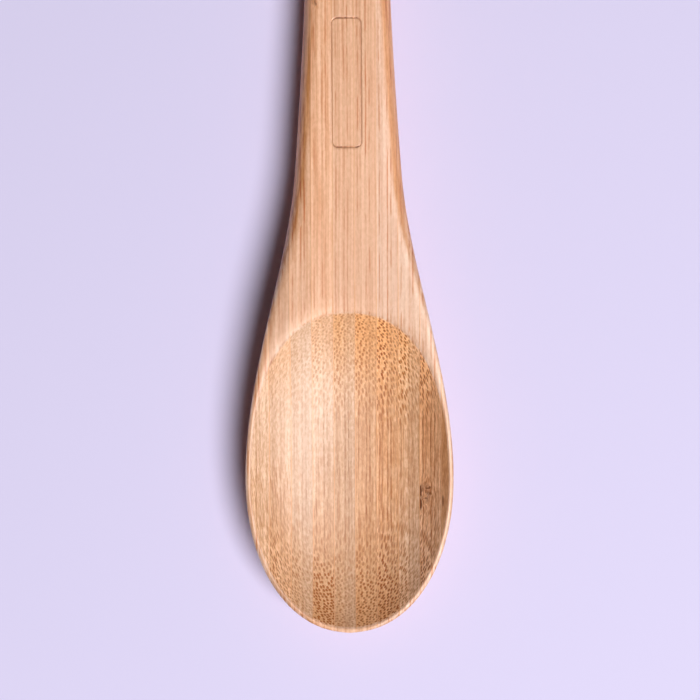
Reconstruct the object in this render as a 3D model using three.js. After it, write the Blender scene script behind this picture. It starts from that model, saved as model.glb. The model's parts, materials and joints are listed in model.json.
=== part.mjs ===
// A cooking spoon carved from a board of bamboo strips glued side by side.
// Millimetres. The tip of the bowl points to -Y, the handle to +Y, and the bowl opens to +Z.
// The spoon lies on the flat of the bowl's back and the flat under the handle's end, at Z = 0.
import * as THREE from 'three';

// Plan: distances run from the tip along the spoon.
const spoonLength = 300;
const bowlWidth = 59.6;
const widestFromTip = 44.5;
const neckFromTip = 132;
const neckWidth = 30.7;
const neckTaper = 0.075;
const handleEndWidth = 20.4;
const endRounding = 10;
const tipFullness = 2.1;
const endFullness = 2.3;

// Bowl hollow
const rimWidth = 1.2;
const hollowEndFromTip = 91.9;
const hollowDepth = 12;
const floorThickness = 5.1;
const hollowFullness = 2.3;
const hollowCurve = 3;

// Side view: the top and the underside along the middle. Slopes are rises per millimetre towards the handle.
const tipDrop = 1.4;
const tipSlope = 0.045;
const rimSlope = 0.025;
const neckRise = 2.3;
const neckTopFromTip = 122;
const neckThickness = 11.6;
const neckBackFromTip = 112;
const neckBackSlope = 0.02;
const handleEndThickness = 10.4;
const handleSlope = -0.062;
const backFlatDepth = 0.8;
const endFlatDepth = 1.6;
const endEdgeRounding = 5;

// Cross-section: how far the widest line lies under the top, the rounding of the edge in plan,
// and how square the curves are
const lipHeight = 1;
const handleEdgeDrop = 6.4;
const lipCorner = 1.2;
const handleCorner = 5;
const cornerSquareness = 2;
const handleCrown = 0.7;
const handleBackSquareness = 2.6;
const bowlBackSquareness = 2.2;
const bowlBackSharpness = 1.4;
const bowlSectionEnd = 84;
const handleSectionStart = 132;

// Lamination
const stripPitch = 6.18;
const seamOffset = 1.72;
const leastEdgeStrip = 2.5;
const glueThickness = 0.2;
const glueInset = 0.4;

// Facets
const tipRowCount = 14;
const bowlRowCount = 22;
const handleRowCount = 14;
const endRowCount = 8;
const leastRowGap = 0.3;
const stripColumns = { rim: 4, hollow: 3, back: 4 };
const glueColumns = { rim: 1, hollow: 1, back: 1 };
const mergeDistance = 1e-3;
const bisectSteps = 60;

const bowlHalf = bowlWidth / 2;
const hollowHalf = bowlHalf - rimWidth;
const rimHeight = hollowDepth + floorThickness;
const neckTop = rimHeight + neckRise;

const outlineStations = [
  { at: widestFromTip, value: bowlHalf, slope: 0 },
  { at: neckFromTip, value: neckWidth / 2, slope: -neckTaper },
  { at: spoonLength - endRounding, value: handleEndWidth / 2, slope: 0 },
];
const topStations = [
  { at: 0, value: rimHeight - tipDrop, slope: tipSlope },
  { at: widestFromTip, value: rimHeight, slope: rimSlope },
  { at: neckTopFromTip, value: neckTop, slope: 0 },
  { at: spoonLength, value: handleEndThickness, slope: handleSlope },
];
const backStations = [
  { at: widestFromTip, value: -backFlatDepth, slope: 0 },
  { at: neckBackFromTip, value: neckTop - neckThickness, slope: neckBackSlope },
  { at: spoonLength, value: -endFlatDepth, slope: handleSlope },
];

// One smooth line through stations of known height and slope.
function smoothLine(stations, along) {
  const last = stations.length - 1;
  if (along >= stations[last].at) {
    return stations[last].value;
  }
  const index = Math.max(0, stations.findLastIndex((station) => station.at <= along));
  const from = stations[index];
  const to = stations[index + 1];
  const span = to.at - from.at;
  const t = (along - from.at) / span;
  const rise = t * t * (3 - 2 * t);
  const startBend = from.slope * span * t * (1 - t) * (1 - t);
  const endBend = to.slope * span * t * t * (t - 1);
  return THREE.MathUtils.lerp(from.value, to.value, rise) + startBend + endBend;
}

function spread(from, to, count) {
  return Array.from({ length: count + 1 }, (_, index) => THREE.MathUtils.lerp(from, to, index / count));
}

// Height of a superellipse arc: 1 at the middle, 0 at the rim.
function arc(reach, squareness, sharpness = squareness) {
  return Math.max(0, 1 - Math.abs(reach) ** squareness) ** (1 / sharpness);
}

// 0 in the bowl, 1 in the handle.
function handleShare(along) {
  return THREE.MathUtils.smoothstep(along, bowlSectionEnd, handleSectionStart);
}

function bowlToHandle(bowlValue, handleValue, along) {
  return THREE.MathUtils.lerp(bowlValue, handleValue, handleShare(along));
}

// Rounding of the handle's end over the given length.
function endArc(along, length) {
  const into = along - (spoonLength - length);
  return into > 0 ? arc(into / length, endFullness) : 1;
}

function outlineHalf(along) {
  if (along < widestFromTip) {
    return bowlHalf * arc((widestFromTip - along) / widestFromTip, tipFullness);
  }
  return smoothLine(outlineStations, along) * endArc(along, endRounding);
}

function hollowReach(along) {
  return along < widestFromTip ? widestFromTip - rimWidth : hollowEndFromTip - widestFromTip;
}

function hollowSquareness(along) {
  return along < widestFromTip ? tipFullness : hollowFullness;
}

// How far the mouth of the hollow has closed in, from 1 at the widest line to 0 at its ends.
function mouthClosing(along) {
  return arc((along - widestFromTip) / hollowReach(along), hollowSquareness(along));
}

// Half width of the oval that the mouth follows, which leaves the rim on the outline.
function mouthOval(along) {
  const closing = mouthClosing(along);
  return closing > 0 ? Math.min(hollowHalf, (outlineHalf(along) - rimWidth) / closing) : hollowHalf;
}

function mouthHalf(along) {
  return mouthOval(along) * mouthClosing(along);
}

// Height of the widest line, where the top and the underside meet.
function edgeHeight(along) {
  return smoothLine(topStations, along) - bowlToHandle(lipHeight, handleEdgeDrop, along);
}

function keelHeight(along) {
  if (along < widestFromTip) {
    const edge = edgeHeight(along);
    const reach = (widestFromTip - along) / widestFromTip;
    return edge - (edge + backFlatDepth) * arc(reach, bowlBackSquareness, bowlBackSharpness);
  }
  return smoothLine(backStations, along);
}

// Share of the half width at which a point lies, 1 on the outline.
function sideReach(across, along) {
  const half = outlineHalf(along);
  return half - Math.abs(across) > mergeDistance ? Math.abs(across) / half : 1;
}

// Depth of the hollow under the rim: a dish that is deepest at the bowl's widest line.
function dishDepth(across, along) {
  const squareness = hollowSquareness(along);
  const acrossShare = (Math.abs(across) / mouthOval(along)) ** squareness;
  const alongShare = (Math.abs(along - widestFromTip) / hollowReach(along)) ** squareness;
  const reach = (acrossShare + alongShare) ** (1 / squareness);
  return hollowDepth * Math.max(0, 1 - reach ** hollowCurve);
}

// Share of the top's height: 1 over the flat middle, rounded down to 0 on the outline.
function cornerShare(across, along) {
  const half = outlineHalf(along);
  const inside = half - Math.abs(across);
  if (inside <= mergeDistance) {
    return 0;
  }
  const corner = Math.min(half, bowlToHandle(lipCorner, handleCorner, along));
  return arc(Math.max(0, 1 - inside / corner), cornerSquareness);
}

function topHeight(across, along) {
  const edge = edgeHeight(along);
  const crown = handleCrown * handleShare(along) * sideReach(across, along) ** 2;
  const rise = (smoothLine(topStations, along) - crown - edge) * endArc(along, endEdgeRounding);
  return edge + rise * cornerShare(across, along) - dishDepth(across, along);
}

function backHeight(across, along) {
  const edge = edgeHeight(along);
  const squareness = bowlToHandle(bowlBackSquareness, handleBackSquareness, along);
  const sharpness = bowlToHandle(bowlBackSharpness, handleBackSquareness, along);
  const drop = (edge - keelHeight(along)) * endArc(along, endEdgeRounding);
  return Math.max(0, edge - drop * arc(sideReach(across, along), squareness, sharpness));
}

// Where a half width grows to the wanted one, and where it falls back to it.
function crossings(halfWidthAt, wanted) {
  const bisect = (narrow, wide) => {
    for (let step = 0; step < bisectSteps; step += 1) {
      const middle = (narrow + wide) / 2;
      if (halfWidthAt(middle) < wanted) {
        narrow = middle;
      } else {
        wide = middle;
      }
    }
    return wide;
  };
  if (halfWidthAt(widestFromTip) <= wanted) {
    return [];
  }
  return [bisect(0, widestFromTip), bisect(spoonLength, widestFromTip)];
}

// Rows of points that all slabs share: crowded towards the tip and the end, even between them.
function sharedRows() {
  const quarter = Math.PI / 2;
  const tipRows = spread(0, quarter, tipRowCount).map((turn) => widestFromTip * (1 - Math.cos(turn)));
  const endStart = spoonLength - endRounding;
  const endRows = spread(0, quarter, endRowCount).map((turn) => endStart + endRounding * Math.sin(turn));
  const bowlRows = spread(widestFromTip, neckFromTip, bowlRowCount);
  const handleRows = spread(neckFromTip, endStart, handleRowCount);
  return [...tipRows, ...bowlRows, ...handleRows, ...endRows];
}

// Rows of a slab between two upright planes: its ends, every place where the outline or the mouth
// of the hollow crosses one of its planes, and the shared rows that aren't close to those.
function slabRows(left, right, inset) {
  const nearest = left < 0 && right > 0 ? 0 : Math.min(Math.abs(left), Math.abs(right));
  const [start, end] = crossings(outlineHalf, nearest + inset);
  const within = (row) => row > start && row < end;
  const edges = [Math.abs(left), Math.abs(right), nearest];
  const marks = edges.flatMap((edge) => [...crossings(outlineHalf, edge), ...crossings(mouthHalf, edge)]);
  const own = [start, ...marks.filter(within), end];
  const clear = sharedRows().filter((row) => own.every((mark) => Math.abs(mark - row) > leastRowGap));
  return [...own, ...clear.filter(within)]
    .sort((a, b) => a - b)
    .filter((row, index, rows) => index === 0 || row - rows[index - 1] > mergeDistance);
}

// Closed section of a slab: along the top from left to right, then back along the underside.
// Columns follow the mouth of the hollow, so that its edge stays crisp.
function slabSection(left, right, along, columns) {
  const half = outlineHalf(along);
  const from = Math.max(left, -half);
  const to = Math.min(right, half);
  const mouth = mouthHalf(along);
  const mouthLeft = THREE.MathUtils.clamp(-mouth, from, Math.max(from, to));
  const mouthRight = THREE.MathUtils.clamp(mouth, from, Math.max(from, to));
  const topColumns = [
    ...spread(from, mouthLeft, columns.rim),
    ...spread(mouthLeft, mouthRight, columns.hollow).slice(1),
    ...spread(mouthRight, to, columns.rim).slice(1),
  ];
  const backColumns = spread(to, from, columns.back);
  return [
    ...topColumns.map((across) => new THREE.Vector3(across, along, topHeight(across, along))),
    ...backColumns.map((across) => new THREE.Vector3(across, along, backHeight(across, along))),
  ];
}

// Skin over a row of sections, with flat ends. Points that fall together are shared, and the
// triangles that close up there are left out.
function loftGeometry(sections) {
  const positions = [];
  const known = new Map();
  const share = (point) => {
    const key = point.toArray().map((value) => Math.round(value / mergeDistance)).join();
    if (!known.has(key)) {
      known.set(key, known.size);
      positions.push(...point.toArray());
    }
    return known.get(key);
  };
  const rings = sections.map((section) => section.map(share));
  const index = [];
  const addTriangle = (a, b, c) => {
    if (a !== b && b !== c && c !== a) {
      index.push(a, b, c);
    }
  };
  const size = rings[0].length;
  rings.slice(1).forEach((next, row) => {
    const ring = rings[row];
    for (let i = 0; i < size; i += 1) {
      const j = (i + 1) % size;
      addTriangle(ring[i], ring[j], next[j]);
      addTriangle(ring[i], next[j], next[i]);
    }
  });
  const first = rings[0];
  const last = rings[rings.length - 1];
  for (let i = 1; i < size - 1; i += 1) {
    addTriangle(first[0], first[i + 1], first[i]);
    addTriangle(last[0], last[i], last[i + 1]);
  }
  const geometry = new THREE.BufferGeometry();
  geometry.setAttribute('position', new THREE.Float32BufferAttribute(positions, 3));
  geometry.setIndex(index);
  geometry.computeVertexNormals();
  return geometry;
}

function slabGeometry(left, right, inset, columns) {
  const rows = slabRows(left, right, inset);
  return loftGeometry(rows.map((along) => slabSection(left, right, along, columns)));
}

// Middle of each glue line, from left to right, as many as the bowl's width takes.
function seamPositions() {
  const limit = bowlHalf - leastEdgeStrip;
  const first = Math.ceil((-limit - seamOffset) / stripPitch);
  const last = Math.floor((limit - seamOffset) / stripPitch);
  return spread(seamOffset + first * stripPitch, seamOffset + last * stripPitch, last - first);
}

const bambooTones = {
  pale: new THREE.MeshStandardMaterial({ color: 0xf1c09e, roughness: 0.62, metalness: 0 }),
  honey: new THREE.MeshStandardMaterial({ color: 0xe9b88c, roughness: 0.62, metalness: 0 }),
  amber: new THREE.MeshStandardMaterial({ color: 0xdda877, roughness: 0.62, metalness: 0 }),
};
const toneOrder = ['pale', 'honey', 'pale', 'honey', 'pale', 'honey', 'amber', 'pale', 'amber', 'honey'];
const glueMaterial = new THREE.MeshStandardMaterial({ color: 0xc0905f, roughness: 0.5, metalness: 0 });

function numbered(name, index) {
  return `${name}_${String(index + 1).padStart(2, '0')}`;
}

function addPiece(group, name, geometry, material) {
  const piece = new THREE.Mesh(geometry, material);
  piece.name = name;
  group.add(piece);
}

function buildSpoon() {
  const spoon = new THREE.Group();
  spoon.position.y = -spoonLength / 2;
  const seams = seamPositions();
  const glueHalf = glueThickness / 2;
  // The two outer strips run out past the widest line, and the outline ends them.
  const bounds = [-bowlWidth, ...seams, bowlWidth];
  bounds.slice(1).forEach((right, index) => {
    const geometry = slabGeometry(bounds[index] + glueHalf, right - glueHalf, 0, stripColumns);
    const tone = bambooTones[toneOrder[index % toneOrder.length]];
    addPiece(spoon, numbered('bamboo_strip', index), geometry, tone);
  });
  seams.forEach((seam, index) => {
    const geometry = slabGeometry(seam - glueHalf, seam + glueHalf, glueInset, glueColumns);
    addPiece(spoon, numbered('glue_line', index), geometry, glueMaterial);
  });
  return spoon;
}

export default buildSpoon();
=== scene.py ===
import json
import math

import bpy
import numpy as np
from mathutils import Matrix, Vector


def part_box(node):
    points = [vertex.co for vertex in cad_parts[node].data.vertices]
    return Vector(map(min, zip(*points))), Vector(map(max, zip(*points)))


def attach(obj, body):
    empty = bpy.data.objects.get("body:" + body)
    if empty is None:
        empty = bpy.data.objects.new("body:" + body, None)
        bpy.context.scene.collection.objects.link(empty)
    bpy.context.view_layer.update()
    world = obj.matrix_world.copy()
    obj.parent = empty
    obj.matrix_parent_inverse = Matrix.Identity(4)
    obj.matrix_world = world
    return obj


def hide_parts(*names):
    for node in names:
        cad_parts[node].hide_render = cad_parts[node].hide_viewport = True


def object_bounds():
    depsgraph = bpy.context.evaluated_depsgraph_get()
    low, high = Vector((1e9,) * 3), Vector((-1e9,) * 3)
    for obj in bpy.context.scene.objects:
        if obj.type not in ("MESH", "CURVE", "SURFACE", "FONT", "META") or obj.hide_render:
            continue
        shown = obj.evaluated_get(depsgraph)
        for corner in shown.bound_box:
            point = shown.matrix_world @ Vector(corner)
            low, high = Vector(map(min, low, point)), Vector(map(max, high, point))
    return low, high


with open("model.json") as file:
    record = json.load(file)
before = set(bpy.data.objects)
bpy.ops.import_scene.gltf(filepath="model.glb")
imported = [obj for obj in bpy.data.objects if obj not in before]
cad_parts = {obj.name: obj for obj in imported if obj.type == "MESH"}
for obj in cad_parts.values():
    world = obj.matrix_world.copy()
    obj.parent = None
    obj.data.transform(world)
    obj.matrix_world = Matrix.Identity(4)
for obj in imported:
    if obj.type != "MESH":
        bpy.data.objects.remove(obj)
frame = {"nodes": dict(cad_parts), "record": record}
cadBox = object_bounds()
mm = 0.001
spoonLength = (cadBox[1].y - cadBox[0].y) / mm
tipPlace = cadBox[0].y / mm
tiny = 1e-9  # keeps divisions clear of zero
print("frame loaded, spoon", round(spoonLength, 1), "mm long")


# The carved form. Millimetres, and distances run from the tip of the bowl.
spoonForm = {
    "bowlHalf": 29.8,
    "widestFromTip": 44.5,
    "neckFromTip": 132.0,
    "neckHalf": 15.35,
    "neckTaper": 0.075,
    "endHalf": 10.2,
    "endRounding": 10.0,
    "endEdgeRounding": 5.0,
    "tipFullness": 2.1,
    "endFullness": 2.3,
    "rimWidth": 1.15,
    "rimHeight": 17.1,
    "tipDrop": 1.4,
    "tipSlope": 0.045,
    "rimSlope": 0.025,
    "neckTop": 19.4,
    "neckTopFromTip": 122.0,
    "neckBack": 7.8,
    "neckBackFromTip": 112.0,
    "neckBackSlope": 0.02,
    "endTop": 10.4,
    "endBack": -1.6,
    "handleSlope": -0.062,
    "backFlatDepth": 0.8,
    "lipHeight": 1.0,
    "handleEdgeDrop": 6.4,
    "lipCorner": 2.6,
    "handleCorner": 5.0,
    "bowlCrown": 0.0,
    "handleCrown": 0.7,
    "cornerSquareness": 2.5,
    "cornerSharpness": 2.0,
    "handleBackSquareness": 2.6,
    "bowlBackSquareness": 2.2,
    "bowlBackSharpness": 1.4,
    "bowlSectionEnd": 84.0,
    "handleSectionStart": 132.0,
}

# The hollow, with the edge of its mouth sanded round and rolled over towards the handle.
bowlHollow = {
    "endFromTip": 91.9,
    "depth": 12.0,
    "fullness": 2.3,
    "curve": 3.0,
    "mouthSoftness": 0.25,
    "rollDepth": 0.5,
    "rollOutside": 1.6,
    "rollInside": 6.0,
    "rollStart": 52.0,
    "rollFull": 84.0,
    "carvedFrom": 0.6,
    "leastClosing": 1e-6,
    "leastHalf": 1e-3,
}

# Stamped frame on the handle, left empty.
stampedFrame = {
    "fromTip": 138.8,
    "length": 37.0,
    "width": 8.4,
    "offset": -0.4,
    "cornerRadius": 1.6,
    "grooveHalf": 0.3,
    "grooveDepth": 0.16,
    "scorchHalf": 0.26,
}

# Small chips in the rim of the bowl: place across and along, reach and depth.
rimChips = (
    (-14.3, 4.9, 0.5, 0.3),
    (-12.7, 4.0, 0.35, 0.22),
    (-25.6, 19.4, 0.45, 0.2),
    (27.3, 26.0, 0.5, 0.22),
)


# One smooth line through stations of known place, height and slope.
def smoothLine(stations, along):
    at, value, slope = np.array(stations).T
    inside = np.clip(along, at[0], at[-1])
    index = np.clip(np.searchsorted(at, inside, side="right") - 1, 0, len(at) - 2)
    span = at[index + 1] - at[index]
    t = (inside - at[index]) / span
    rise = (value[index + 1] - value[index]) * t * t * (3 - 2 * t)
    startBend = slope[index] * span * t * (1 - t) ** 2
    endBend = slope[index + 1] * span * t * t * (t - 1)
    return value[index] + rise + startBend + endBend


def smoothShare(value, start, end):
    t = np.clip((value - start) / (end - start), 0, 1)
    return t * t * (3 - 2 * t)


# Height of a superellipse arc: 1 at the middle, 0 at its ends.
def arc(reach, squareness, sharpness):
    return np.maximum(0, 1 - np.abs(reach) ** squareness) ** (1 / sharpness)


def bowlToHandle(bowlName, handleName, along):
    share = smoothShare(along, spoonForm["bowlSectionEnd"], spoonForm["handleSectionStart"])
    return spoonForm[bowlName] + (spoonForm[handleName] - spoonForm[bowlName]) * share


def endArc(along, length):
    into = np.maximum(0, along - (spoonLength - length)) / length
    return arc(into, spoonForm["endFullness"], spoonForm["endFullness"])


def outlineHalf(along):
    form = spoonForm
    widest, fullness = form["widestFromTip"], form["tipFullness"]
    stations = (
        (widest, form["bowlHalf"], 0.0),
        (form["neckFromTip"], form["neckHalf"], -form["neckTaper"]),
        (spoonLength - form["endRounding"], form["endHalf"], 0.0),
    )
    tipSide = form["bowlHalf"] * arc((widest - along) / widest, fullness, fullness)
    handleSide = smoothLine(stations, along) * endArc(along, form["endRounding"])
    return np.where(along < widest, tipSide, handleSide)


def ridgeHeight(along):
    form = spoonForm
    stations = (
        (0.0, form["rimHeight"] - form["tipDrop"], form["tipSlope"]),
        (form["widestFromTip"], form["rimHeight"], form["rimSlope"]),
        (form["neckTopFromTip"], form["neckTop"], 0.0),
        (spoonLength, form["endTop"], form["handleSlope"]),
    )
    return smoothLine(stations, along)


def edgeHeight(along):
    return ridgeHeight(along) - bowlToHandle("lipHeight", "handleEdgeDrop", along)


def keelHeight(along):
    form = spoonForm
    widest, flat = form["widestFromTip"], form["backFlatDepth"]
    stations = (
        (widest, -flat, 0.0),
        (form["neckBackFromTip"], form["neckBack"], form["neckBackSlope"]),
        (spoonLength, form["endBack"], form["handleSlope"]),
    )
    edge = edgeHeight(along)
    reach = np.maximum(0, widest - along) / widest
    bulge = arc(reach, form["bowlBackSquareness"], form["bowlBackSharpness"])
    return np.where(along < widest, edge - (edge + flat) * bulge, smoothLine(stations, along))


def sideReach(across, along):
    half = np.maximum(outlineHalf(along), tiny)
    return np.clip(np.abs(across) / half, 0, 1)


# Depth of the plain dish under the rim: above 0 in the hollow, below 0 outside its mouth.
def mouthDepth(across, along):
    form, hollow = spoonForm, bowlHollow
    widest, rim = form["widestFromTip"], form["rimWidth"]
    onTipSide = along < widest
    reach = np.where(onTipSide, widest - rim, hollow["endFromTip"] - widest)
    fullness = np.where(onTipSide, form["tipFullness"], hollow["fullness"])
    alongShare = np.abs(along - widest) / reach
    closing = arc(alongShare, fullness, fullness)
    hollowHalf, least = form["bowlHalf"] - rim, hollow["leastClosing"]
    oval = np.minimum(hollowHalf, (outlineHalf(along) - rim) / np.maximum(closing, least))
    oval = np.where(closing > least, np.maximum(oval, hollow["leastHalf"]), hollowHalf)
    share = (np.abs(across) / oval) ** fullness + alongShare ** fullness
    return hollow["depth"] * (1 - share ** (hollow["curve"] / fullness))


def dishDepth(across, along):
    hollow = bowlHollow
    depth = mouthDepth(across, along)
    dish = (depth + np.sqrt(depth ** 2 + hollow["mouthSoftness"] ** 2)) / 2
    fade = np.where(depth < 0, depth / hollow["rollOutside"], -depth / hollow["rollInside"])
    roll = hollow["rollDepth"] * smoothShare(along, hollow["rollStart"], hollow["rollFull"])
    return dish + roll * np.exp(fade)


def frameDistance(across, along):
    stamp = stampedFrame
    corner = stamp["cornerRadius"]
    sideways = np.abs(across - stamp["offset"]) - stamp["width"] / 2 + corner
    lengthways = np.abs(along - stamp["fromTip"] - stamp["length"] / 2) - stamp["length"] / 2 + corner
    outside = np.hypot(np.maximum(sideways, 0), np.maximum(lengthways, 0))
    return outside + np.minimum(np.maximum(sideways, lengthways), 0) - corner


def smallMarks(across, along):
    stamp = stampedFrame
    groove = np.maximum(0, 1 - (frameDistance(across, along) / stamp["grooveHalf"]) ** 2) ** 2
    depth = stamp["grooveDepth"] * groove
    for chipAcross, chipAlong, reach, chipDepth in rimChips:
        away = ((across - chipAcross) ** 2 + (along - chipAlong) ** 2) / reach ** 2
        depth = depth + chipDepth * np.exp(-away)
    return depth


# Share of the top's height: 1 over the flat middle, rounded down to 0 at the outline.
def cornerArc(across, along):
    half = np.maximum(outlineHalf(along), tiny)
    corner = np.minimum(half, bowlToHandle("lipCorner", "handleCorner", along))
    into = np.clip((np.abs(across) - half + corner) / corner, 0, 1)
    return arc(into, spoonForm["cornerSquareness"], spoonForm["cornerSharpness"])


def topHeight(across, along):
    edge = edgeHeight(along)
    crown = bowlToHandle("bowlCrown", "handleCrown", along) * sideReach(across, along) ** 2
    rise = (ridgeHeight(along) - crown - edge) * endArc(along, spoonForm["endEdgeRounding"])
    height = edge + rise * cornerArc(across, along)
    height = height - dishDepth(across, along) - smallMarks(across, along)
    return np.maximum(height, backHeight(across, along))


def backHeight(across, along):
    edge = edgeHeight(along)
    squareness = bowlToHandle("bowlBackSquareness", "handleBackSquareness", along)
    sharpness = bowlToHandle("bowlBackSharpness", "handleBackSquareness", along)
    drop = (edge - keelHeight(along)) * endArc(along, spoonForm["endEdgeRounding"])
    return np.maximum(0, edge - drop * arc(sideReach(across, along), squareness, sharpness))


# Spacing of the fine mesh, in millimetres, counts and shares.
meshDetail = {
    "hollowRow": 0.3,
    "hollowRowEnd": 104.0,
    "neckRow": 0.6,
    "neckRowEnd": 138.0,
    "handleRow": 0.9,
    "endCrowd": 9.0,
    "endRows": 36,
    "grooveRow": 0.12,
    "leastRowGap": 0.02,
    "leastEndGap": 1e-4,
    "topColumns": 26,
    "backColumns": 16,
    "grooveColumns": 14,
    "leastColumnShare": 1e-3,
    "stripRowScale": 1.0,
    "filmColumns": 2,
    "filmRowScale": 1.5,
    "endStep": 0.005,
    "weldGap": 0.001,
    "sharpEdge": 42.0,  # degrees
}


# Rows along a slab, crowded towards its two ends and over the ends of the stamped frame.
def meshRows(start, end, rowScale):
    detail, stamp = meshDetail, stampedFrame
    crowdReach = detail["endCrowd"]
    rows = [
        np.arange(0, detail["hollowRowEnd"], detail["hollowRow"] * rowScale),
        np.arange(detail["hollowRowEnd"], detail["neckRowEnd"], detail["neckRow"] * rowScale),
        np.arange(detail["neckRowEnd"], spoonLength, detail["handleRow"] * rowScale),
    ]
    room = stamp["cornerRadius"] + stamp["grooveHalf"]
    for side in (stamp["fromTip"], stamp["fromTip"] + stamp["length"] - stamp["cornerRadius"]):
        rows.append(np.arange(side - stamp["grooveHalf"], side + room, detail["grooveRow"] * rowScale))
    crowd = crowdReach * np.linspace(0, 1, detail["endRows"] + 1) ** 2
    allRows = np.concatenate(rows)
    clear = allRows[(allRows > start + crowdReach) & (allRows < end - crowdReach)]
    merged = np.unique(np.concatenate([start + crowd, clear, end - crowd]))
    kept = [merged[0]]
    for row in merged[1:]:
        nearEnd = min(row - start, end - row) < crowdReach
        if row - kept[-1] > detail["leastEndGap" if nearEnd else "leastRowGap"]:
            kept.append(row)
    return np.array(kept)


# Shares of the width from left to right, crowded towards the outer side.
def meshColumns(left, right, count):
    t = np.linspace(0, 1, count + 1)
    middle = (left + right) / 2
    if abs(middle) < (right - left) / 2:
        return (1 - np.cos(math.pi * t)) / 2
    crowded = 1 - np.cos(math.pi / 2 * t)
    return crowded if middle < 0 else 1 - crowded[::-1]


# Adds columns over the long sides of the stamped frame.
def withGroove(shares, left, right):
    stamp = stampedFrame
    extra = []
    for side in (-1, 1):
        line = stamp["offset"] + side * stamp["width"] / 2
        inner = line - side * stamp["cornerRadius"]
        low, high = sorted((line + side * stamp["grooveHalf"], inner))
        places = np.linspace(low, high, meshDetail["grooveColumns"])
        extra.append((places - left) / (right - left))
    joined = np.unique(np.concatenate([shares, *extra]))
    joined = joined[(joined >= 0) & (joined <= 1)]
    return joined[np.concatenate([[True], np.diff(joined) > meshDetail["leastColumnShare"]])]


# A slab of the spoon between two upright planes, as rows of points over its top and its back.
def slabPoints(left, right, rows, topShares, backShares, sink):
    half = outlineHalf(rows)
    low = np.maximum(left, -half)[:, None]
    high = np.maximum(low, np.minimum(right, half)[:, None])
    along = rows[:, None]
    topAcross = low + (high - low) * topShares
    backAcross = low + (high - low) * backShares
    top = np.maximum(topHeight(topAcross, along) - sink, backHeight(topAcross, along))
    back = backHeight(backAcross, along) + sink
    topPoints = np.stack([topAcross, np.broadcast_to(along, top.shape), top], axis=2)
    backPoints = np.stack([backAcross, np.broadcast_to(along, back.shape), back], axis=2)
    return topPoints, backPoints


def arcShares(points):
    steps = np.linalg.norm(np.diff(points, axis=1), axis=2)
    total = np.concatenate([np.zeros((len(points), 1)), np.cumsum(steps, axis=1)], axis=1)
    return total / np.maximum(total[:, -1:], tiny), total[:, -1].max()


# The flat map that colours are baked to. Gap and lane are in millimetres, the rest in shares of the map.
bakeMap = {"gap": 0.6, "lane": 0.8, "margin": 0.01, "capPlace": 0.99, "capSize": 0.004}


# Spots on that map: top and back in bands of the length, hidden sides in two thin lanes.
def mapSpots(rows, topPoints, backPoints, corners):
    gap, lane, margin = bakeMap["gap"], bakeMap["lane"], bakeMap["margin"]
    topCount, size = topPoints.shape[1], topPoints.shape[1] + backPoints.shape[1]
    topShare, topWide = arcShares(topPoints)
    backShare, backWide = arcShares(backPoints)
    quadRow, column = corners[:, 0] // size, corners[:, 0] % size
    steps = len(rows) - 1
    length = rows[-1] - rows[0]
    bands = max(1, round(math.sqrt(length / (topWide + backWide))))
    bandOf = np.minimum(np.arange(steps) * bands // steps, bands - 1)
    bandRows = [np.flatnonzero(bandOf == band) for band in range(bands)]
    starts = np.array([rows[inside[0]] for inside in bandRows])
    ends = np.array([rows[inside[-1] + 1] for inside in bandRows])
    bandTall = topWide + backWide + 2 * gap
    scale = 1 / max((ends - starts).max() + 2 * gap, bands * bandTall + 2 * (lane + gap))

    band = bandOf[quadRow]
    cornerAlong = rows[corners // size]
    share = np.concatenate([topShare, backShare[:, ::-1]], axis=1).reshape(-1)[corners]
    isTop = (column < topCount - 1)[:, None]
    u = (cornerAlong - starts[band][:, None] + gap) * scale
    v = np.where(isTop, share * topWide, share * backWide + topWide + gap)
    v = (v + (band * bandTall)[:, None] + gap) * scale

    isRight = column == topCount - 1
    isSide = isRight | (column == size - 1)
    laneLow = bands * bandTall + np.where(isRight, gap, lane + 2 * gap)
    sideAcross = np.array([0.0, 1.0, 1.0, 0.0]) * lane
    u[isSide] = ((cornerAlong - rows[0]) / length)[isSide] * (1 - 2 * margin) + margin
    v[isSide] = ((laneLow[:, None] + sideAcross) * scale)[isSide]
    return np.stack([u, v], axis=2)


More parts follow.
